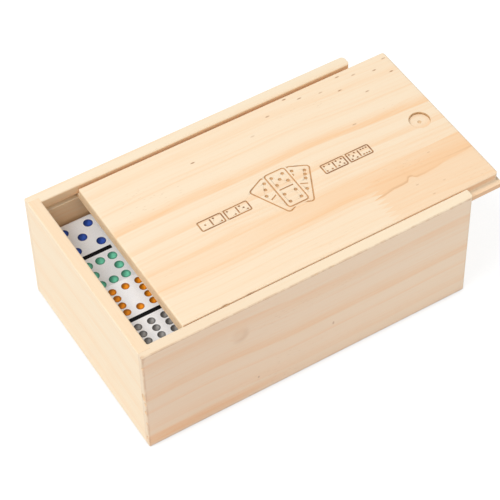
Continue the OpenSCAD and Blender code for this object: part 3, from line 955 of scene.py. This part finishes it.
# %% The chip tree
tree, given = new_geometry_tree("chips", Roughness="Float", Grain_size="Float", Torn_wood="Material")
pebble = output(tree, "GeometryNodeMeshIcoSphere", {"Radius": 1.0, "Subdivisions": 3})
stretch = attribute(tree, "chip_reach", "FLOAT_VECTOR")
inputs = {"Points": given["Geometry"], "Instance": pebble, "Scale": stretch}
placed = output(tree, "GeometryNodeInstanceOnPoints", inputs)
placed = output(tree, "GeometryNodeRealizeInstances", {"Geometry": placed})
position = output(tree, "GeometryNodeInputPosition")
bumps = noise(position, scale=given["Grain size"], kind="Color")
jitter = scaled(vector_calc("SUBTRACT", bumps, (0.5,) * 3), given["Roughness"])
rough = output(tree, "GeometryNodeSetPosition", {"Geometry": placed, "Offset": jitter})
finish_tree(tree, rough, Material=given["Torn wood"])
chip_tree = tree
chip_roughness, chip_grain = 0.5 * MM, 1400.0

torn_dark, torn_pale = (0.72, 0.47, 0.27, 1), (0.90, 0.70, 0.48, 1)
torn_pine, tree, shader = new_material("torn_pine", 0.8, Specular_IOR_Level=0.2)
torn = noise(board_space(tree, 0.0), (0.4, 3.0, 3.0), detail=4)
tree.links.new(mix(torn, torn_dark, torn_pale), shader.inputs["Base Color"])
add_bump(tree, shader, torn, 0.6, 0.15)
print("the chip tree has", len(chip_tree.nodes), "nodes")

# %% Boards with chips
def chips_along(start, end, count, length, bite, seed):
    """Chips on an arris as (place, reach along each axis), at places and sizes that the seed fixes."""
    chance = random.Random(seed)
    start, end = Vector(start), Vector(end)
    along = max(range(3), key=lambda axis: abs(end[axis] - start[axis]))
    places = [tuple(start.lerp(end, chance.random())) for _ in range(count)]
    chips = []
    for place in places:
        chip_length = length * chance.uniform(0.5, 1.4)
        reach = [bite * chance.uniform(0.6, 1.2)] * 3
        reach[along] = chip_length / 2
        chips.append((place, reach))
    return chips


def cut_away(board, cutter, **more):
    """Takes a cutter out of a board. The faces it leaves keep the cutter's material."""
    cut = board.modifiers.new("cut", "BOOLEAN")
    settings = dict(operation="DIFFERENCE", solver="EXACT", material_mode="TRANSFER", object=cutter, **more)
    for setting, value in settings.items():
        setattr(cut, setting, value)
    plain_mesh(board)
    bpy.data.objects.remove(cutter)


def only_material(piece, material):
    """Gives a piece one material all over."""
    piece.data.materials.clear()
    piece.data.materials.append(material)


def worn_board(name, node, wood, body, slot, chips, drilled=None):
    """A copy of a CAD board with its chips cut out, and a drilled dip if it has one."""
    board = bpy.data.objects.new(name, nodes[node].data.copy())
    scene.collection.objects.link(board)
    form = bmesh.new()
    form.from_mesh(board.data)
    bmesh.ops.remove_doubles(form, verts=form.verts, dist=1e-6)
    open_edges = sum(not e.is_manifold for e in form.edges)
    form.to_mesh(board.data)
    form.free()
    only_material(board, wood)
    places = bpy.data.meshes.new("chip places")
    places.from_pydata([tuple(v * MM for v in place) for place, _ in chips], [], [])
    reaches = places.attributes.new("chip_reach", "FLOAT_VECTOR", "POINT")
    reaches.data.foreach_set("vector", [v * MM for _, reach in chips for v in reach])
    cutter = run_tree(chip_tree, "chips", places, Roughness=chip_roughness, Grain_size=chip_grain,
                      Torn_wood=torn_pine)
    cut_away(board, cutter, use_self=True)
    if drilled:
        cut_away(board, drilled)
    add_to_body(smooth_but_sharp(board, angle=24), body, slot, node)
    print(f"{name}: {len(board.data.polygons)} faces, {len(chips)} chips, {open_edges} open edges before")


print("chips and boards ready")

# %% [markdown]
# ## The finger dip
#
# A drill with a flat cutting edge made it. Such a drill rubs on the wall of its hole and burns it brown,
# and leaves fine circles and a centre mark on the floor. Its cutter is turned from a profile, a twentieth
# of a millimetre larger than the construction's dip, so that it replaces it completely.

# %% The drill's cutter
oversize = 0.05
dip_radius, dip_depth = 5.5 + oversize, 1.5 + oversize
dip_from_end = 12.6
mark_radius, mark_depth = 0.82, 0.4
circle_height, dip_turns = 0.03, 96
dip_middle = Vector((lid_high.x - dip_from_end, lid_middle.y, lid_high.z))
circles = [(r / 10, -dip_depth + circle_height * (r % 2)) for r in range(11, 52, 5)]
profile = [(0, -dip_depth - mark_depth), (0.35, -dip_depth - 0.25), (mark_radius, -dip_depth), *circles,
           (dip_radius - 0.15, -dip_depth), (dip_radius, -dip_depth + 0.15), (dip_radius, -0.25),
           (dip_radius + 0.06, -0.08), (dip_radius + 0.22, 0.01), (dip_radius + 0.22, 1), (0, 1)]
drill = bpy.data.objects.new("drill", revolved("drill", profile, dip_turns))
drill.data.transform(Matrix.Diagonal((MM, MM, MM, 1)) @ Matrix.Translation(dip_middle))
scene.collection.objects.link(drill)
print(f"a drill {2 * dip_radius:.1f} mm wide at x = {dip_middle.x:.1f} mm")

# %% The dip's burnt wall, with painted shade on one side
dip_shaded_side = (-0.82, -0.57, 0.0)
wall_pale, wall_brown = (0.88, 0.62, 0.38, 1), (0.45, 0.26, 0.12, 1)
burnt_and_shaded_wall, tree, shader = new_material("burnt_dip_wall", 0.6, Specular_IOR_Level=0.3)
place = board_space(tree, 0.0)
depth = minus(lid_high.z, axes(place)["Z"])
smoke = noise(place, scale=0.5, detail=3)
on_wall = fade(depth, dip_depth + 0.05, dip_depth - 0.05, -0.45, 0.0)
smoky = fade(smoke, 0.3, 0.7, -0.2, 0.2)
# Painted shade: the wall is darker on the side that faces this way.
dip_side_shade = turned_to(tree, dip_shaded_side, -0.1, 0.9, -0.30, 0.35)
amount = plus(fade(depth, 0.1, 1.1, 0.20, 0.72), smoky, dip_side_shade)
amount = calc("ADD", amount, on_wall, clamp=True)
tree.links.new(mix(amount, wall_pale, wall_brown), shader.inputs["Base Color"])
for material in (burnt_and_shaded_wall, lid_pine):
    drill.data.materials.append(material)
for face in drill.data.polygons:
    from_axis = (face.center / MM - dip_middle).xy.length
    is_floor = 1.0 < from_axis < dip_radius - 0.1 and face.center.z < lid_high.z * MM
    face.material_index = int(is_floor)
print(sum(face.material_index for face in drill.data.polygons), "faces of the dip's floor stay plain pine")

# %% The boards
end_margin_y, lid_margin_y = 8, 3
end_near, end_far = near_face + end_margin_y, -near_face - end_margin_y
lid_near, lid_far = lid_low.y + lid_margin_y, lid_high.y - lid_margin_y
corner_chips = [((left, near_face + y, z), (0.5, width, height)) for y, z, width, height in
                ((0.5, 62, 0.7, 0.9), (1.8, 38.5, 1.6, 2.5), (0.6, 34, 0.8, 1.3), (1.0, 27, 0.9, 1.2),
                 (0.8, 18.5, 0.6, 0.8), (1.6, 6, 0.8, 1.0))]
rim_chips = [((-44.5, inner_face, rim - 0.6), (2.2, 0.5, 1.0)),
             ((-31, inner_face, rim - 0.6), (3.2, 0.22, 0.7))]
lid_chips = [((-44, inner_face + 1.2, lid_high.z - 0.3), (2.0, 0.45, 0.9))]
for x, z, count, seed in ((lid_low.x, lid_high.z, 3, 51), (lid_high.x, lid_high.z, 3, 52),
                          (lid_high.x, lid_low.z, 4, 53)):
    lid_chips += chips_along((x, lid_near, z), (x, lid_far, z), count, 1.7, 0.30, seed)
worn_board("near_long_wall", "front_wall", front_pine, "box", "pine_long_walls",
           corner_chips + rim_chips
           + chips_along((left, near_face, rim), (right, near_face, rim), 5, 2.2, 0.35, seed=11)
           + chips_along((left, near_face, 0), (right, near_face, 0), 6, 2.5, 0.40, seed=12)
           + chips_along((right, near_face, 0), (right, near_face, rim), 4, 1.6, 0.40, seed=13))
worn_board("far_long_wall", "back_wall", back_pine, "box", "pine_long_walls",
           chips_along((left, -near_face, rim), (right, -near_face, rim), 5, 2.2, 0.35, seed=21)
           + chips_along((left, -near_face, 0), (left, -near_face, rim), 5, 1.8, 0.45, seed=22)
           + chips_along((right, -near_face, 0), (right, -near_face, rim), 4, 1.8, 0.40, seed=23))
worn_board("left_end_panel", "left_end_board", left_pine, "box", "pine_end_boards",
           chips_along((left, end_near, rim), (left, end_far, rim), 3, 2.0, 0.32, seed=31)
           + chips_along((left, end_near, 0), (left, end_far, 0), 4, 2.2, 0.38, seed=32))
worn_board("right_end_panel", "right_end_board", right_pine, "box", "pine_end_boards",
           chips_along((right, end_near, 0), (right, end_far, 0), 4, 2.2, 0.38, seed=41))
worn_board("sliding_lid", "lid", lid_pine, "lid", "pine_lid", lid_chips, drilled=drill)
only_material(nodes["bottom_board"], bottom_pine)
bpy.data.objects.remove(pip_shape)
